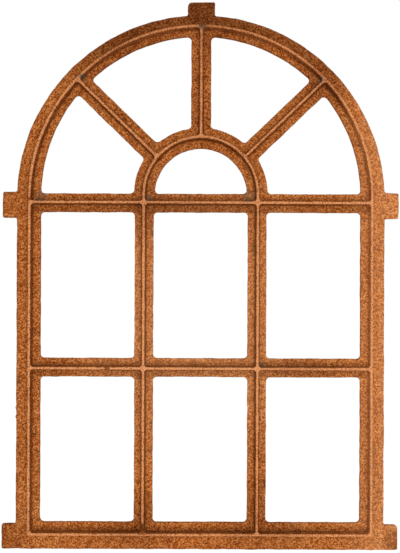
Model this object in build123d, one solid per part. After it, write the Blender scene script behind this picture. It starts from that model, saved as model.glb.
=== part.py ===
from build123d import *
from math import cos, radians, sin
import os

# A round-headed cast-iron stable window: one sand casting of flanged glazing bars inside a
# flat frame, with five lugs that are built into the wall. Lengths are millimetres.
# +Z is up, +X is to the right seen from the glazing side, and the glazing side faces -Y.
# The origin is the middle of the sill rail's underside, in the middle of the plate's thickness.

# Setting out, by the middle lines of the ribs
COLUMNS = 3
ROWS = 2
PANE_PITCH = 200.0
ROW_PITCH = 291.0
SILL_RIB_Z = 30.0
SPOKE_ANGLES = (44.0, 90.0, 136.0)

# How far above the impost bar each half circle has its centre
OUTER_STILT = 7.0
SPOKE_STILT = 6.0
RIB_STILT = 9.0
SIGHT_STILT = 12.0
RING_STILT = 15.0

# Widths of the flat plate, from the middle of a rib to the plate's edge
FRAME_BAND = 25.0
FRAME_LEDGE = 17.0
SILL_LEDGE = 17.5
BAR_LEDGE = 16.5
SPOKE_LEDGE = 17.5
RING_LEDGE = 18.5

# Section
PLATE_THICKNESS = 7.0
RIB_RISE = 16.0
RIB_ROOT_HALF = 3.6
RIB_DRAFT = 5.0
ROOT_ROUND = 3.0
EDGE_ROUND = 1.5
TIP_ROUND = 1.7
SIGHT_CORNER = 7.0
POCKET_CORNER = 4.0
FRAME_CORNER = 3.0

# Lugs
TOP_LUG_WIDTH = 48.0
TOP_LUG_RISE = 23.0
SIDE_LUG_REACH = 25.0
SPRING_LUG_HEIGHT = 46.0
SPRING_LUG_DROP = 4.0
FOOT_LUG_HEIGHT = 44.0
LUG_CORNER = 3.0
LUG_ROOT = 4.0

# Where the members are parted: this far outside the edge of the bar they meet
SEAM = 3.5
LUG_SEAM = 0.5

# Worked out
RIB_HALF = COLUMNS * PANE_PITCH / 2
OUTER_HALF = RIB_HALF + FRAME_BAND
SIGHT_HALF = RIB_HALF - FRAME_LEDGE
IMPOST_Z = SILL_RIB_Z + ROWS * ROW_PITCH
OUTER_Z = IMPOST_Z + OUTER_STILT
SPOKE_Z = IMPOST_Z + SPOKE_STILT
RIB_ARCH_Z = IMPOST_Z + RIB_STILT
SIGHT_Z = IMPOST_Z + SIGHT_STILT
RING_Z = IMPOST_Z + RING_STILT
RING_RADIUS = PANE_PITCH / 2
MULLION_XS = [(i - COLUMNS / 2) * PANE_PITCH for i in range(1, COLUMNS)]
TRANSOM_ZS = [SILL_RIB_Z + i * ROW_PITCH for i in range(1, ROWS)]
BACK_Y = PLATE_THICKNESS / 2
FRONT_Y = -PLATE_THICKNESS / 2

# Beyond the casting, clear of a face, and near enough to count as on it
FAR = 2000.0
CLEAR = 1.0
TOLERANCE = 0.01


def bar(x0, x1, z0, z1):
    """A rectangle in the window's plane, given by its sides."""
    return Pos((x0 + x1) / 2, (z0 + z1) / 2) * Rectangle(x1 - x0, z1 - z0)


def upright(half_width, foot_z, centre_z):
    """A round-headed outline: straight sides from foot_z to the arch's centre, and a half disc."""
    return bar(-half_width, half_width, foot_z, centre_z) + Pos(0, centre_z) * Circle(half_width)


def ring_band(gap):
    """The half ring over the middle pane, with short legs down to the impost bar."""
    outer = upright(RING_RADIUS + gap, IMPOST_Z, RING_Z)
    inner = upright(RING_RADIUS - gap, IMPOST_Z, RING_Z)
    return outer - inner - bar(-RIB_HALF, RIB_HALF, 0, IMPOST_Z)


def spoke_band(angle, gap):
    """A straight bar from the ring's middle line out to the arch."""
    strip = Pos(0, SPOKE_Z) * Rot(0, 0, angle) * Pos(RIB_HALF / 2, 0) * Rectangle(RIB_HALF, 2 * gap)
    return strip - Pos(0, RING_Z) * Circle(RING_RADIUS)


def panes(inside, bars, spokes, ring, corner):
    """The eleven openings left inside the frame when each bar takes its own half width."""
    for x in MULLION_XS:
        inside -= bar(x - bars, x + bars, 0, IMPOST_Z)
    for z in TRANSOM_ZS + [IMPOST_Z]:
        inside -= bar(-RIB_HALF, RIB_HALF, z - bars, z + bars)
    inside -= ring_band(ring)
    for angle in SPOKE_ANGLES:
        inside -= spoke_band(angle, spokes)
    smooth = (RIB_ARCH_Z, SIGHT_Z, RING_Z)
    corners = [v for v in inside.vertices() if min(abs(v.Y - z) for z in smooth) > TOLERANCE]
    return fillet(corners, corner).faces()


def sight_openings():
    """The openings through the plate."""
    inside = upright(SIGHT_HALF, SILL_RIB_Z + SILL_LEDGE, SIGHT_Z)
    return panes(inside, BAR_LEDGE, SPOKE_LEDGE, RING_LEDGE, SIGHT_CORNER)


def rib_pockets():
    """The spaces between the roots of the ribs."""
    inside = upright(RIB_HALF - RIB_ROOT_HALF, SILL_RIB_Z + RIB_ROOT_HALF, RIB_ARCH_Z)
    return panes(inside, RIB_ROOT_HALF, RIB_ROOT_HALF, RIB_ROOT_HALF, POCKET_CORNER)


def outline_with_lugs():
    """The plate's outer edge: the frame, a lug on top, two at the springing and two at the foot."""
    top_z = OUTER_Z + OUTER_HALF
    spring_z = IMPOST_Z - SPRING_LUG_DROP
    reach = OUTER_HALF + SIDE_LUG_REACH
    plate = upright(OUTER_HALF, 0, OUTER_Z)
    plate += bar(-TOP_LUG_WIDTH / 2, TOP_LUG_WIDTH / 2, OUTER_Z, top_z + TOP_LUG_RISE)
    plate += bar(-reach, reach, spring_z - SPRING_LUG_HEIGHT / 2, spring_z + SPRING_LUG_HEIGHT / 2)
    plate += bar(-reach, reach, 0, FOOT_LUG_HEIGHT)
    ends = [v for v in plate.vertices() if abs(v.X) > reach - CLEAR or v.Y > top_z + CLEAR]
    plate = fillet(ends, LUG_CORNER)
    roots = [
        v
        for v in plate.vertices()
        if (abs(abs(v.X) - OUTER_HALF) < CLEAR and abs(v.Y - OUTER_Z) > TOLERANCE)
        or (abs(abs(v.X) - TOP_LUG_WIDTH / 2) < TOLERANCE and v.Y < top_z + CLEAR)
    ]
    return fillet(roots, LUG_ROOT)


def front_plane(y):
    """The window's plane at depth y, facing the glazing side."""
    return Plane.XZ.offset(-y)


def block():
    """The plate with its lugs, and the slab that the ribs are cut from."""
    plate = extrude(front_plane(BACK_Y) * outline_with_lugs(), PLATE_THICKNESS)
    plate = fillet(plate.faces().sort_by(Axis.Y)[0].edges(), EDGE_ROUND)
    foot = upright(RIB_HALF + RIB_ROOT_HALF, SILL_RIB_Z - RIB_ROOT_HALF, RIB_ARCH_Z)
    foot = fillet([v for v in foot.vertices() if v.Y < SILL_RIB_Z], FRAME_CORNER)
    slab = extrude(front_plane(FRONT_Y) * foot, RIB_RISE, taper=RIB_DRAFT)
    solid = plate + slab
    band = [
        f for f in solid.faces() if abs(f.center().Y - FRONT_Y) < TOLERANCE and f.inner_wires()
    ][0]
    return fillet(band.inner_wires()[0].edges(), ROOT_ROUND)


def pane_tool(sight, pocket):
    """What is cut away at one pane: the opening in the plate, and the drafted pocket between ribs."""
    tool = extrude(front_plane(FRONT_Y) * pocket, RIB_RISE, taper=-RIB_DRAFT)
    tool = fillet(tool.faces().sort_by(Axis.Y)[-1].edges(), ROOT_ROUND)
    tool += extrude(front_plane(BACK_Y + CLEAR) * sight, PLATE_THICKNESS + CLEAR)
    floor = [
        f for f in tool.faces() if abs(f.center().Y - FRONT_Y) < TOLERANCE and f.inner_wires()
    ][0]
    return fillet(floor.inner_wires()[0].edges(), EDGE_ROUND)


def casting():
    """The whole window in one piece."""
    solid = block()
    pockets = rib_pockets()
    for sight in sight_openings():
        centre = sight.center()
        pocket = min(pockets, key=lambda p: (p.center() - centre).length)
        solid -= pane_tool(sight, pocket)
    return fillet(solid.faces().sort_by(Axis.Y)[0].edges(), TIP_ROUND)


def prism(region):
    """A region of the window's plane, swept right through the casting."""
    return extrude(front_plane(FAR / 2) * region, FAR)


def sector(start, end):
    """A wedge of the window's plane between two angles, seen from where the spokes meet."""
    rays = [(FAR * cos(radians(a)), SPOKE_Z + FAR * sin(radians(a))) for a in (start, end)]
    return make_face(Polyline((0, SPOKE_Z), *rays, close=True))


def upright_regions(sill_top, impost_foot, impost_top):
    """Where the sill rail, the stiles, the mullions and the level bars are parted."""
    inner = SIGHT_HALF - SEAM
    outer = OUTER_HALF + LUG_SEAM
    bars = BAR_LEDGE + SEAM
    regions = {
        "sill_rail": bar(-outer, outer, 0, sill_top),
        "left_stile": bar(-outer, -inner, sill_top, impost_top),
        "right_stile": bar(inner, outer, sill_top, impost_top),
        "impost_bar": bar(-inner, inner, impost_foot, impost_top),
    }
    for side, x in zip(("left", "right"), MULLION_XS):
        regions[side + "_mullion"] = bar(x - bars, x + bars, sill_top, impost_foot)
    edges = [-inner] + [x + s * bars for x in MULLION_XS for s in (-1, 1)] + [inner]
    for side, x0, x1 in zip(("left", "middle", "right"), edges[0::2], edges[1::2]):
        regions[side + "_transom"] = bar(x0, x1, TRANSOM_ZS[0] - bars, TRANSOM_ZS[0] + bars)
    return regions


def head_regions(impost_top, crown):
    """Where the arch, the spokes and the fan ring are parted."""
    outer = OUTER_HALF + LUG_SEAM
    above = bar(-outer, outer, impost_top, crown)
    arch_bore = Pos(0, SIGHT_Z) * Circle(SIGHT_HALF - SEAM)
    ring_outer = Pos(0, RING_Z) * Circle(RING_RADIUS + RING_LEDGE + SEAM)
    ring_bore = Pos(0, RING_Z) * Circle(RING_RADIUS - RING_LEDGE - SEAM)
    regions = {}
    bounds = (0.0,) + SPOKE_ANGLES + (180.0,)
    names = ("right_haunch", "right_crown", "left_crown", "left_haunch")
    for name, start, end in zip(names, bounds, bounds[1:]):
        wedge = above & sector(start, end)
        regions["arch_" + name] = wedge - arch_bore
        regions["ring_" + name] = (wedge & ring_outer) - ring_bore
    for side, angle in zip(("right", "middle", "left"), SPOKE_ANGLES):
        strip = spoke_band(angle, SPOKE_LEDGE + SEAM)
        regions[side + "_spoke"] = (strip & arch_bore) - ring_outer
    return regions


def lug_regions(crown):
    """Where the five lugs are parted from the frame."""
    outer = OUTER_HALF + LUG_SEAM
    middle = IMPOST_Z / 2
    regions = {"top_lug": bar(-FAR, FAR, crown, FAR)}
    for side, x0, x1 in (("left", -FAR, -outer), ("right", outer, FAR)):
        regions[side + "_foot_lug"] = bar(x0, x1, 0, middle)
        regions[side + "_spring_lug"] = bar(x0, x1, middle, crown)
    return regions


def members():
    """The casting parted into its members, which meet face to face."""
    sill_top = SILL_RIB_Z + SILL_LEDGE + SEAM
    impost_foot = IMPOST_Z - BAR_LEDGE - SEAM
    impost_top = IMPOST_Z + BAR_LEDGE + SEAM
    crown = OUTER_Z + OUTER_HALF + LUG_SEAM
    regions = upright_regions(sill_top, impost_foot, impost_top)
    regions.update(head_regions(impost_top, crown))
    regions.update(lug_regions(crown))
    whole = casting()
    return {name: (whole & prism(region)).solids()[0] for name, region in regions.items()}


os.makedirs("parts", exist_ok=True)
for name, piece in members().items():
    export_step(piece, "parts/" + name + ".step")
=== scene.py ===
from math import cos, hypot, radians, sin

import bmesh
import bpy
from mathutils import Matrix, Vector, noise
from mathutils.bvhtree import BVHTree


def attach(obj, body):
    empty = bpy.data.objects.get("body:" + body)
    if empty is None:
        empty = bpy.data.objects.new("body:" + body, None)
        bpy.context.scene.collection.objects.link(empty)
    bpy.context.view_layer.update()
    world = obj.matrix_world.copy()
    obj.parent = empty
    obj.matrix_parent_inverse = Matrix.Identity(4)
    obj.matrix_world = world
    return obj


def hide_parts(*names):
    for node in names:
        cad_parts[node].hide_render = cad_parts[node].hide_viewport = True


# How each member's mesh is cut up for working: lengths in metres
GRID = 0.0026
SAME_POINT = 1e-6
PLANAR_ANGLE = radians(0.5)
SHARP_ANGLE = radians(48)

# A face this near to a neighbour's lies against it when the cosine between them is below FACING
CAP_REACH = 0.0003
FACING = -0.95

# The casting's skin, in metres. The ripple is a second, finer wave, and pits form below PIT_LEVEL
WAVE_SIZE = 0.026
WAVE_HEIGHT = 0.0006
RIPPLE_SHARE, RIPPLE_RATE = 0.6, 2.7
PIT_SIZE = 0.0065
PIT_DEPTH = 0.0004
PIT_LEVEL = -0.1

# The section and the ribs' middle lines, as part.py has them, in metres
PLATE_FRONT = -0.0035
RIB_TIP = -0.0195
RIB_HALF = 0.3
UPRIGHT_RIBS = (-RIB_HALF, -0.1, 0.1, RIB_HALF)
SILL, TRANSOM, IMPOST = 0.030, 0.321, 0.612
LEVEL_RIBS = (SILL, TRANSOM, IMPOST)
ARCH_CENTRE, ARCH_RADIUS = 0.621, 0.3
RING_CENTRE, RING_RADIUS = 0.627, 0.1
SPOKE_CENTRE = 0.618
SPOKE_ANGLES = (44, 90, 136)
OUTER_CENTRE, OUTER_HALF = 0.619, 0.325
TOP_LUG_HALF, TOP_LUG_END = 0.024, 0.967
SIDE_LUG_END = 0.350
SIDE_LUGS = ((0.0, 0.044), (0.585, 0.631))

# Painted shade comes in or goes between these heights, places and distances, in metres
CROWN = (0.80, 0.90)
RIGHT_SIDE = (0.24, 0.28)
BESIDE_RIB = (0.0036, 0.0066)
ABOVE_RIB = (0.004, 0.014)
BY_EDGE = (0.0015, 0.0045)

# How dark the painted shade is above level ribs, on the crown's outer band and by the edge, where 1
# is the painted shade beside ribs, and how much of that the crown and the right side are without
ABOVE_SHADE = 0.7
CROWN_SHADE = 0.70
EDGE_SHADE = 0.4
LESS_SHADE = 0.65

# Level ribs with painted shade on the ledge under them, and how dark it is
LEDGE = 0.017
UNDERSIDES = ((IMPOST, 0.50), (TRANSOM, 0.35))

# Dents that the pour left in the ribs: x, z, radius and depth in metres. Each has its full depth
# over DENT_CORE of its radius, and moves only points more than RIB_ROOT in front of the plate
DENTS = (
    (-0.0995, 0.040, 0.011, 0.0050),
    (-0.163, 0.3210, 0.0055, 0.0040),
    (0.002, 0.922, 0.0080, 0.0030),
    (-0.2985, 0.618, 0.0070, 0.0015),
)
DENT_CORE = 0.25
RIB_ROOT = 0.004

# Lug corners worn rounder than the pattern: x, z and radius in metres, and which way each points.
# Points out to WEAR_REACH radii from the curve's centre are drawn in
WORN_CORNERS = (
    (-0.024, 0.967, 0.0085, -1, 1),
    (0.350, 0.044, 0.0065, 1, 1),
    (-0.350, 0.6315, 0.005, -1, 1),
)
WEAR_REACH = 2.5

# Two small nubs on the left stile's outer edge: z, radius and reach in metres. Each is full over
# NUB_CORE of its radius, and moves only points within NUB_BAND of the edge
NUBS = ((0.2495, 0.0042, 0.0016), (0.2335, 0.0042, 0.0018))
NUB_CORE = 0.1
NUB_X, NUB_BAND = -0.325, 0.0004

# Darker reddish patches: x, z and radius in metres, and strength. A patch keeps its full strength
# over SPOT_CORE of its radius
DARK_PATCHES = (
    (0.000, 0.800, 0.360, 0.30),
    (0.035, 0.945, 0.120, 0.55),
    (-0.130, 0.905, 0.120, 0.55),
    (0.230, 0.850, 0.090, 0.60),
    (0.000, 0.960, 0.050, 0.70),
    (0.120, 0.040, 0.120, 0.45),
    (-0.120, 0.040, 0.080, 0.45),
    (0.345, 0.018, 0.030, 0.90),
    (-0.345, 0.030, 0.070, 0.60),
    (-0.330, 0.620, 0.050, 0.30),
    (-0.060, 0.600, 0.100, 0.35),
    (0.180, 0.310, 0.090, 0.35),
)
SPOT_CORE = 0.25

# Where the rust is drier and paler: a round patch in the middle, with its x, z and radius in
# metres and its strength. The rust is also paler towards the right side, with the two x between
# which that comes in and its strength. DRY_SHARE of each strength lays the dry rust's own colour
# over what is there
DRY_MIDDLE = (0.0, 0.40, 0.32, 0.85)
PALER_RIGHT = (0.22, 0.33, 0.9)
DRY_SHARE = 0.15

# Grey-brown scale where the bars cross: x, z and radius in metres
GREY_PATCHES = (
    (-0.283, 0.623, 0.016),
    (-0.091, 0.619, 0.010),
    (0.085, 0.623, 0.016),
    (0.001, 0.921, 0.010),
    (-0.209, 0.832, 0.010),
    (0.211, 0.827, 0.010),
    (0.108, 0.327, 0.009),
)

# Rust, as linear colours
DARK_RUST = (0.220, 0.047, 0.004)
MID_RUST = (0.370, 0.086, 0.011)
LIGHT_RUST = (0.780, 0.310, 0.095)
DEEP_RUST = (0.090, 0.016, 0.001)
DRY_RUST = (0.740, 0.360, 0.170)
# The next colour is worn paler rust with a painted highlight, for the ribs' noses
BARE_EDGE_AND_HIGHLIGHT = (0.720, 0.315, 0.135)
GREY_SCALE = (0.150, 0.110, 0.070)

# Tints that the rust is multiplied by, so that its grain stays
DRY = (1.10, 1.16, 1.20)
FRESH = (1.22, 1.36, 1.50)
OXIDE = (0.35, 0.24, 0.18)
# The next tint is painted shade
SHADE_TINT = (0.26, 0.22, 0.16)

# The rust's noises, from broad to fine: scale, detail and roughness. FLAKES is a scale alone
NOISES = {
    "cloud": (9.0, 4.0, 0.6),
    "blotch": (48.0, 4.0, 0.6),
    "speck": (240.0, 2.0, 0.7),
    "dust": (410.0, 2.0, 0.7),
}
FLAKES = 500.0

# How the noises colour the rust: which one, its values where the colour begins and is full, how
# strong it is then, and the colour, laid over what is there or multiplied with it
GRAIN_COLOURS = (
    ("speck", 0.40, 0.54, 1.0, MID_RUST),
    ("flake", 0.60, 1.00, 0.6, LIGHT_RUST),
    ("flake", 0.40, 0.00, 0.6, DEEP_RUST),
    ("dust", 0.53, 0.60, 0.6, LIGHT_RUST),
)
GRAIN_TINTS = (
    ("blotch", 0.54, 0.70, 0.45, OXIDE),
    ("cloud", 0.45, 0.70, 0.80, FRESH),
)

# How the noises break up the pale noses' worn rust and painted highlight, the dark patches and the
# grey scale: two values of the noise, and the strength at each
NOSE_GRAIN = (0.43, 0.53, 0.10, 0.95)
PATCH_GRAIN = (0.3, 0.6, 1.0, 0.5)
GREY_GRAIN = (0.42, 0.55, 0.9, 0.2)

# Depths in metres, each pair from where something begins to where it is full: the pale nose of worn
# rust with a painted highlight, the painted shade, which keeps off the nose and off the plate's
# sides, and the painted shade of the rim round the plate's front
NOSE_WEAR_AND_HIGHLIGHT = (RIB_TIP + 0.0012, RIB_TIP + 0.0001)
SHADE_OFF_NOSE = (RIB_TIP + 0.0006, RIB_TIP + 0.0030)
SHADE_OFF_SIDES = (PLATE_FRONT + 0.0025, PLATE_FRONT + 0.0010)
RIM_FROM_FRONT = (PLATE_FRONT + 0.0001, PLATE_FRONT + 0.0008)
RIM_FROM_BACK = (PLATE_FRONT + 0.0030, PLATE_FRONT + 0.0016)
SHADE_STRENGTH = 0.72
RIM_SHADE_STRENGTH = 0.5

# The rust's relief, in metres and as shares of two noises, and its dull face
BUMP_DEPTH = 0.0012
SPECK_SHARE, DUST_SHARE = 0.6, 0.4
ROUGHNESS = 0.9
GLOSS = 0.04

# The camera stands square on, as far off as the ribs' spread in the photograph puts it
CAMERA_DISTANCE = 1.5
CAMERA_X = -0.0009
CAMERA_Z = 0.4823
PICTURE_HEIGHT = 0.9770
ROLL = radians(-0.22)
SENSOR = 36.0

# The studio: a pale floor that partly glows for the camera, a white sky and one soft lamp
WHITE = (1.0, 1.0, 1.0)
FLOOR_PAINT = (0.9, 0.9, 0.9)
FLOOR_GLOW, GLOW_SHARE = 1.1, 0.8
FLOOR_HALF, FLOOR_HEIGHT = 40, -0.9
SKY_STRENGTH = 0.75
KEY_PLACE = (0.5, -2.4, 0.6)
KEY_SIZE, KEY_POWER = 1.6, 30


def add_object(name, data):
    """A new object in the scene."""
    made = bpy.data.objects.new(name, data)
    bpy.context.scene.collection.objects.link(made)
    return made


def step_between(low, high, value):
    """0 below low, 1 above high, and smooth between."""
    t = min(1.0, max(0.0, (value - low) / (high - low)))
    return t * t * (3 - 2 * t)


def mark_caps(bm, others):
    """Gives material 1 to the faces that lie against a neighbouring member."""
    for face in bm.faces:
        centre = face.calc_center_median()
        face.material_index = 0
        for tree in others:
            place, normal, _, _ = tree.find_nearest(centre, CAP_REACH)
            if place is not None and normal.dot(face.normal) < FACING:
                face.material_index = 1
                break


def cut_to_grid(bm):
    """Flat faces are joined up and the mesh is sliced both ways, so that the skin can be worked."""
    bmesh.ops.dissolve_limit(
        bm, angle_limit=PLANAR_ANGLE, verts=bm.verts, edges=bm.edges, delimit={"MATERIAL"}
    )
    for axis, normal in ((0, Vector((1, 0, 0))), (2, Vector((0, 0, 1)))):
        low = min(v.co[axis] for v in bm.verts)
        high = max(v.co[axis] for v in bm.verts)
        for step in range(int(low // GRID) + 1, int(high // GRID) + 1):
            geometry = bm.verts[:] + bm.edges[:] + bm.faces[:]
            cut = normal * step * GRID
            bmesh.ops.bisect_plane(
                bm, geom=geometry, dist=SAME_POINT, plane_co=cut, plane_no=normal
            )


def skin_normal(vertex):
    """The vertex's normal without the faces that are hidden against a neighbour."""
    total = Vector()
    for face in vertex.link_faces:
        if face.material_index == 0:
            total += face.normal * face.calc_area()
    return total.normalized() if total.length else vertex.normal.copy()


def straight_distance(x, z):
    """The distance to the nearest rib's middle line, at or below the impost bar."""
    if abs(x) >= RIB_HALF or z <= SILL:
        return hypot(max(0.0, abs(x) - RIB_HALF), max(0.0, SILL - z))
    upright = min(abs(x - line) for line in UPRIGHT_RIBS)
    level = min(abs(z - line) for line in LEVEL_RIBS)
    return min(upright, level)


def fan_distance(x, z):
    """The distance to the nearest rib's middle line, above the impost bar."""
    near = [z - IMPOST] if abs(x) < RIB_HALF else []
    near.append(abs(hypot(x, max(0.0, z - ARCH_CENTRE)) - ARCH_RADIUS))
    from_ring = hypot(x, max(0.0, z - RING_CENTRE)) - RING_RADIUS
    near.append(abs(from_ring))
    if from_ring > 0 and hypot(x, z - ARCH_CENTRE) < ARCH_RADIUS:
        for angle in SPOKE_ANGLES:
            along = (cos(radians(angle)), sin(radians(angle)))
            near.append(abs((z - SPOKE_CENTRE) * along[0] - x * along[1]))
    return min(near)


def rib_distance(x, z):
    """How far a point of the window's plane is from the nearest rib's middle line."""
    return straight_distance(x, z) if z <= IMPOST else fan_distance(x, z)


def edge_distance(x, z):
    """How far inside the plate's outer edge a point lies, with the lugs as part of the plate."""
    across = abs(x) if z < OUTER_CENTRE else hypot(x, z - OUTER_CENTRE)
    inside = [min(OUTER_HALF - across, z)]
    if z > OUTER_CENTRE:
        inside.append(min(TOP_LUG_HALF - abs(x), TOP_LUG_END - z))
    for low, high in SIDE_LUGS:
        inside.append(min(SIDE_LUG_END - abs(x), high - z, z - low))
    return max(inside)


def level_shade(x, z):
    """Painted shade just above the level ribs and on the ledges under two of them."""
    if abs(x) >= RIB_HALF:
        return 0.0
    painted_shade = 0.0
    below = [line for line in LEVEL_RIBS if line < z]
    if below:
        painted_shade = ABOVE_SHADE * (1 - step_between(*ABOVE_RIB, z - below[-1]))
    for line, amount in UNDERSIDES:
        if 0 < line - z < LEDGE:
            painted_shade = max(painted_shade, amount)
    return painted_shade


def shade_amount(point):
    """Painted shade beside the ribs, by the outer edge, at the level ribs and on the crown's outer
    band.
    """
    x, z = point.x, point.z
    crown = step_between(*CROWN, z)
    right = step_between(*RIGHT_SIDE, x)
    beside = 1 - step_between(*BESIDE_RIB, rib_distance(x, z))
    # The crown and the right side get less of the painted shade beside the ribs
    beside *= 1 - LESS_SHADE * max(crown, right)
    # Painted shade on the crown's outer band, outside the arch rib
    outer_band = 0.0
    if hypot(x, max(0.0, z - ARCH_CENTRE)) > ARCH_RADIUS:
        outer_band = CROWN_SHADE * crown
    # Painted shade along the plate's outer edge, fading out on the right side
    edge = EDGE_SHADE * (1 - right) * (1 - step_between(*BY_EDGE, edge_distance(x, z)))
    return max(beside, level_shade(x, z), outer_band, edge)


def dent(point):
    """How far back a point of a rib is pushed by the dents."""
    push = 0.0
    if point.y < PLATE_FRONT - RIB_ROOT:
        for x, z, radius, depth in DENTS:
            away = hypot(point.x - x, point.z - z)
            push += depth * (1 - step_between(DENT_CORE * radius, radius, away))
    return push


def nub(point):
    """How far a point of the left stile's outer edge stands out."""
    reach = 0.0
    if point.x < NUB_X + NUB_BAND:
        for z, radius, height in NUBS:
            reach += height * (1 - step_between(NUB_CORE * radius, radius, abs(point.z - z)))
    return reach


def worn_corner(point):
    """How a point near a worn corner of a lug is drawn in towards the corner's own curve."""
    for x, z, radius, side, rise in WORN_CORNERS:
        across = (point.x - (x - side * radius)) * side
        up = (point.z - (z - rise * radius)) * rise
        away = hypot(across, up)
        if across > 0 and up > 0 and radius < away < WEAR_REACH * radius:
            pull = 1 - radius / away
            return Vector((-side * across * pull, 0, -rise * up * pull))
    return Vector()


def cast_face(point, normal):
    """How the slow waves and small pits of a casting move a point of its skin."""
    wave = noise.noise(point / WAVE_SIZE)
    wave += RIPPLE_SHARE * noise.noise(point / WAVE_SIZE * RIPPLE_RATE)
    pit = min(0.0, noise.noise(point / PIT_SIZE) - PIT_LEVEL)
    return normal * (wave * WAVE_HEIGHT + pit * PIT_DEPTH)


def weather(bm):
    """Works every point of the mesh, and stores its depth and its painted shade for the material.
    """
    depth = bm.verts.layers.float.new("depth")
    painted_shade = bm.verts.layers.float.new("painted_shade")
    bm.normal_update()
    moves = []
    for vertex in bm.verts:
        point = vertex.co
        hollow = dent(point)
        vertex[depth] = point.y + hollow
        vertex[painted_shade] = shade_amount(point)
        move = cast_face(point, skin_normal(vertex))
        move += Vector((-nub(point), hollow, 0))
        moves.append(move + worn_corner(point))
    for vertex, move in zip(bm.verts, moves):
        vertex.co += move


def worked_mesh(name, node, others):
    """The node's own mesh, cut up and worked as a casting's skin."""
    bm = bmesh.new()
    bm.from_mesh(node.data)
    bmesh.ops.remove_doubles(bm, verts=bm.verts, dist=SAME_POINT)
    mark_caps(bm, others)
    cut_to_grid(bm)
    weather(bm)
    bmesh.ops.triangulate(bm, faces=[f for f in bm.faces if len(f.verts) > 4])
    for face in bm.faces:
        face.material_index = 0
        face.smooth = True
    mesh = bpy.data.meshes.new(name)
    bm.to_mesh(mesh)
    bm.free()
    return mesh


def skin(name, node, others, iron):
    """Makes the worked piece that stands for one member of the casting."""
    mesh = worked_mesh("skin_" + name, node, others)
    mesh.materials.append(iron)
    mesh.set_sharp_from_angle(angle=SHARP_ANGLE)
    piece = add_object("skin_" + name, mesh)
    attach(piece, "root")
    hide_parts(name)


class Shader:
    """Short names for making and joining the nodes of a material or a world."""

    def __init__(self, owner):
        owner.use_nodes = True
        self.tree = owner.node_tree
        self.tree.nodes.clear()

    def put(self, target, value):
        if isinstance(value, bpy.types.NodeSocket):
            self.tree.links.new(value, target)
        elif isinstance(value, tuple) and len(value) == 3 and target.type == "RGBA":
            target.default_value = (*value, 1.0)
        else:
            target.default_value = value

    def node(self, kind, **values):
        """A new node. A name with a capital is an input of it, and any other is its setting."""
        made = self.tree.nodes.new("ShaderNode" + kind)
        for name, value in values.items():
            if name[0].isupper():
                self.put(made.inputs[name.replace("_", " ")], value)
            else:
                setattr(made, name, value)
        return made

    def fill(self, made, *values):
        """Sets a node's inputs in their order, for nodes whose inputs share a name."""
        for target, value in zip(made.inputs, values):
            self.put(target, value)
        return made

    def math(self, operation, first, second):
        return self.fill(self.node("Math", operation=operation), first, second).outputs[0]

    def times(self, first, second):
        return self.math("MULTIPLY", first, second)

    def mix(self, amount, first, second, blend="MIX"):
        made = self.node("Mix", data_type="RGBA", blend_type=blend, Factor=amount)
        colours = [socket for socket in made.inputs if socket.type == "RGBA"]
        self.put(colours[0], first)
        self.put(colours[1], second)
        return next(socket for socket in made.outputs if socket.type == "RGBA")

    def tint(self, amount, colour, by):
        return self.mix(amount, colour, by, "MULTIPLY")

    def noise(self, place, scale, detail, roughness):
        made = self.node("TexNoise", Vector=place, Scale=scale, Detail=detail, Roughness=roughness)
        return made.outputs["Fac"]

    def flakes(self, place, scale):
        made = self.node("TexVoronoi", Vector=place, Scale=scale)
        return self.node("SeparateColor", Color=made.outputs["Color"]).outputs[0]

    def stored(self, name):
        return self.node("Attribute", attribute_name=name).outputs["Fac"]

    def between(self, value, low, high, start=0.0, end=1.0):
        """From start at low to end at high, and smooth between."""
        made = self.node(
            "MapRange",
            interpolation_type="SMOOTHSTEP",
            Value=value,
            From_Min=low,
            From_Max=high,
            To_Min=start,
            To_Max=end,
        )
        return made.outputs["Result"]

    def spot(self, flat_place, x, z, radius):
        """1 near a point of the window's plane, fading to 0 at the radius."""
        away = self.node("VectorMath", operation="DISTANCE")
        self.fill(away, flat_place, (x, 0.0, z))
        return self.between(away.outputs["Value"], SPOT_CORE * radius, radius, 1.0, 0.0)


def grained(s, grains):
    """The rust's own colour: specks, flakes and dust, under broad blotches and clouds."""
    colour = DARK_RUST
    for kind, low, high, amount, rust_colour in GRAIN_COLOURS:
        colour = s.mix(s.between(grains[kind], low, high, 0.0, amount), colour, rust_colour)
    for kind, low, high, amount, tint in GRAIN_TINTS:
        colour = s.tint(s.between(grains[kind], low, high, 0.0, amount), colour, tint)
    return colour


def dried(s, colour, side, flat_place):
    """Drier, paler rust in the middle, and paler rust towards the right side."""
    low, high, strength = PALER_RIGHT
    right = s.between(side, low, high, 0.0, strength)
    x, z, radius, strength = DRY_MIDDLE
    middle = s.times(s.spot(flat_place, x, z, radius), strength)
    for amount in (right, middle):
        colour = s.mix(s.times(amount, DRY_SHARE), colour, DRY_RUST)
        colour = s.tint(amount, colour, DRY)
    return colour


def patched(s, colour, flat_place, grains):
    """Darker oxide in broad patches, and grey-brown scale where the bars cross."""
    patchy = s.between(grains["blotch"], *PATCH_GRAIN)
    for x, z, radius, amount in DARK_PATCHES:
        here = s.times(s.spot(flat_place, x, z, radius), amount)
        colour = s.tint(s.times(here, patchy), colour, OXIDE)
    scaly = s.between(grains["speck"], *GREY_GRAIN)
    for x, z, radius in GREY_PATCHES:
        here = s.times(s.spot(flat_place, x, z, radius), scaly)
        colour = s.mix(here, colour, GREY_SCALE)
    return colour


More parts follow.
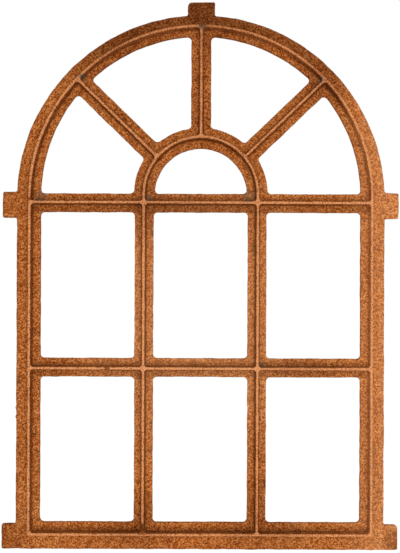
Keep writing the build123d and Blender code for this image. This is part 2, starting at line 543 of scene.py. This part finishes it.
def shaded(s, colour, depth):
    """Painted shade where the stored amount puts it, and painted shade along the rim that turns
    back from the front.
    """
    visible = s.times(s.stored("painted_shade"), s.between(depth, *SHADE_OFF_SIDES))
    shade_mask = s.times(visible, s.between(depth, *SHADE_OFF_NOSE))
    colour = s.tint(s.times(shade_mask, SHADE_STRENGTH), colour, SHADE_TINT)
    # Painted shade along the rim that turns back from the plate's front
    rim = s.times(s.between(depth, *RIM_FROM_FRONT), s.between(depth, *RIM_FROM_BACK))
    return s.tint(s.times(rim, RIM_SHADE_STRENGTH), colour, SHADE_TINT)


def rust():
    """Orange-brown scale, grained and pitted, with worn paler rust and a painted highlight on the
    ribs' noses, and painted shade beside them.
    """
    material = bpy.data.materials.new("rusted_iron")
    s = Shader(material)
    place = s.node("TexCoord").outputs["Object"]
    depth = s.stored("depth")
    axes = s.node("SeparateXYZ", Vector=place).outputs
    flat_place = s.node("CombineXYZ", X=axes["X"], Z=axes["Z"]).outputs[0]
    grains = {name: s.noise(place, *settings) for name, settings in NOISES.items()}
    grains["flake"] = s.flakes(place, FLAKES)

    colour = grained(s, grains)
    colour = dried(s, colour, axes["X"], flat_place)
    # Worn paler rust with a painted highlight on the ribs' noses
    wear_and_highlight = s.times(s.between(depth, *NOSE_WEAR_AND_HIGHLIGHT), s.between(grains["dust"], *NOSE_GRAIN))
    colour = s.mix(wear_and_highlight, colour, BARE_EDGE_AND_HIGHLIGHT)
    colour = patched(s, colour, flat_place, grains)
    # Painted shade beside and above the ribs, under level ribs, by the edges and on the crown band
    colour = shaded(s, colour, depth)

    specks = s.times(grains["speck"], SPECK_SHARE)
    height = s.math("ADD", specks, s.times(grains["dust"], DUST_SHARE))
    bump = s.node("Bump", Strength=1.0, Distance=BUMP_DEPTH, Height=height)
    shell = s.node("BsdfPrincipled", Base_Color=colour, Roughness=ROUGHNESS, Normal=bump.outputs[0])
    s.put(shell.inputs["Specular IOR Level"], GLOSS)
    s.node("OutputMaterial", Surface=shell.outputs[0])
    return material


def plain_floor():
    """A pale floor well below the window, which stays white behind it and keeps a soft shadow."""
    material = bpy.data.materials.new("floor")
    s = Shader(material)
    seen = s.node("LightPath").outputs["Is Camera Ray"]
    paint = s.node("BsdfDiffuse", Color=FLOOR_PAINT)
    glow = s.node("Emission", Color=WHITE, Strength=FLOOR_GLOW)
    both = s.node("MixShader")
    s.fill(both, s.times(seen, GLOW_SHARE), paint.outputs[0], glow.outputs[0])
    s.node("OutputMaterial", Surface=both.outputs[0])
    mesh = bpy.data.meshes.new("floor")
    signs = ((-1, -1), (1, -1), (1, 1), (-1, 1))
    corners = [(x * FLOOR_HALF, y * FLOOR_HALF, FLOOR_HEIGHT) for x, y in signs]
    mesh.from_pydata(corners, [], [(0, 1, 2, 3)])
    mesh.materials.append(material)
    add_object("floor", mesh)


def daylight(strength):
    """A soft even sky that the camera, gloss and glass see as white."""
    world = bpy.data.worlds.new("studio")
    bpy.context.scene.world = world
    s = Shader(world)
    rays = s.node("LightPath").outputs
    seen = s.math("MAXIMUM", rays["Is Camera Ray"], rays["Is Glossy Ray"])
    seen = s.math("MAXIMUM", seen, rays["Is Transmission Ray"])
    level = s.node("MapRange", Value=seen, To_Min=strength, To_Max=1.0)
    sky = s.node("Background", Color=WHITE, Strength=level.outputs["Result"])
    s.node("OutputWorld", Surface=sky.outputs[0])


def lamp(name, place, size, power):
    """A soft square lamp turned to the window's middle."""
    data = bpy.data.lights.new(name, "AREA")
    data.size = size
    data.energy = power
    made = add_object(name, data)
    made.location = place
    aim = Vector((0, 0, CAMERA_Z)) - Vector(place)
    made.rotation_euler = aim.to_track_quat("-Z", "Y").to_euler()


def camera():
    """Square on to the window, at the photograph's distance."""
    data = bpy.data.cameras.new("camera")
    data.sensor_width = SENSOR
    data.lens = SENSOR * CAMERA_DISTANCE / PICTURE_HEIGHT
    made = add_object("camera", data)
    made.location = (CAMERA_X, PLATE_FRONT - CAMERA_DISTANCE, CAMERA_Z)
    made.rotation_euler = (radians(90), ROLL, 0)
    bpy.context.scene.camera = made


def nearest_face_tree(node):
    """The node's faces, ready to be asked which is nearest."""
    bm = bmesh.new()
    bm.from_mesh(node.data)
    tree = BVHTree.FromBMesh(bm)
    bm.free()
    return tree


def dress(nodes):
    iron = rust()
    trees = {name: nearest_face_tree(node) for name, node in nodes.items()}
    for name, node in nodes.items():
        others = [tree for other, tree in trees.items() if other != name]
        skin(name, node, others, iron)


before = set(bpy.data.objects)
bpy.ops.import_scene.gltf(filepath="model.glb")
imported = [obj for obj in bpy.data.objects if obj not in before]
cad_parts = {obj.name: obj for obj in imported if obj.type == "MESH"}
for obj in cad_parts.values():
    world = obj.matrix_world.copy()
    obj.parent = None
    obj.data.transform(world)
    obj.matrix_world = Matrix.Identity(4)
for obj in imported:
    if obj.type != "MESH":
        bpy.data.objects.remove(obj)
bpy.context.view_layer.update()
dress(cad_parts)
plain_floor()
daylight(SKY_STRENGTH)
lamp("key", KEY_PLACE, KEY_SIZE, KEY_POWER)
camera()
bpy.context.scene.view_settings.view_transform = "Standard"
